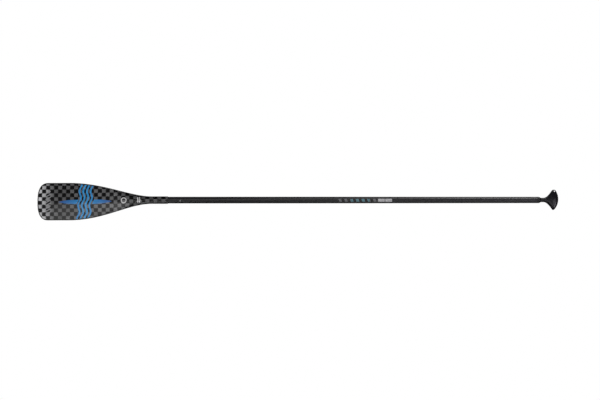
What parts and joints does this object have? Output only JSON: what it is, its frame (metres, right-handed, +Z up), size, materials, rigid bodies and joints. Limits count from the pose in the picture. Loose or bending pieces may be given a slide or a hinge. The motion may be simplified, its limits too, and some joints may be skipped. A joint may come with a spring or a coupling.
{
  "type": "stand-up paddleboard paddle",
  "caption": "Fixed-length stand-up paddle: bent carbon blade with a foam core, a tapered carbon shaft socketed in its neck, and a moulded T-grip with a lanyard hole.",
  "frame": {"origin": "on the ground under the middle of the paddle's length, in its plane of symmetry", "axes": "+X runs from the blade's tip to the grip, +Y towards the wing of the T with the lanyard hole, +Z up out of the blade's power face"},
  "size_m": [2.2872, 0.1648, 0.0806],
  "materials": {
    "blade_laminate": "coarse woven carbon laminate under a gloss clear coat",
    "edge_bead": "satin moulded black bead",
    "panel_foam": "closed-cell foam, sanded",
    "neck_foam": "dense closed-cell foam, sanded",
    "sleeve_laminate": "peel-ply carbon laminate",
    "shaft_laminate": "satin-sanded carbon tube",
    "plug_foam": "cut closed-cell foam",
    "spigot_nylon": "moulded nylon",
    "grip_moulding": "fine-grained moulded plastic"
  },
  "bodies": {
    "root": {"blade_face_skin": "blade_laminate", "blade_back_skin": "blade_laminate", "blade_edge_rail": "edge_bead", "blade_foam_core": "panel_foam", "neck_block": "neck_foam", "neck_sleeve": "sleeve_laminate", "shaft_tube": "shaft_laminate", "shaft_lower_plug": "plug_foam", "shaft_upper_plug": "plug_foam", "grip_spigot": "spigot_nylon", "grip_front_shell": "grip_moulding", "grip_back_shell": "grip_moulding"}
  },
  "joints": []
}
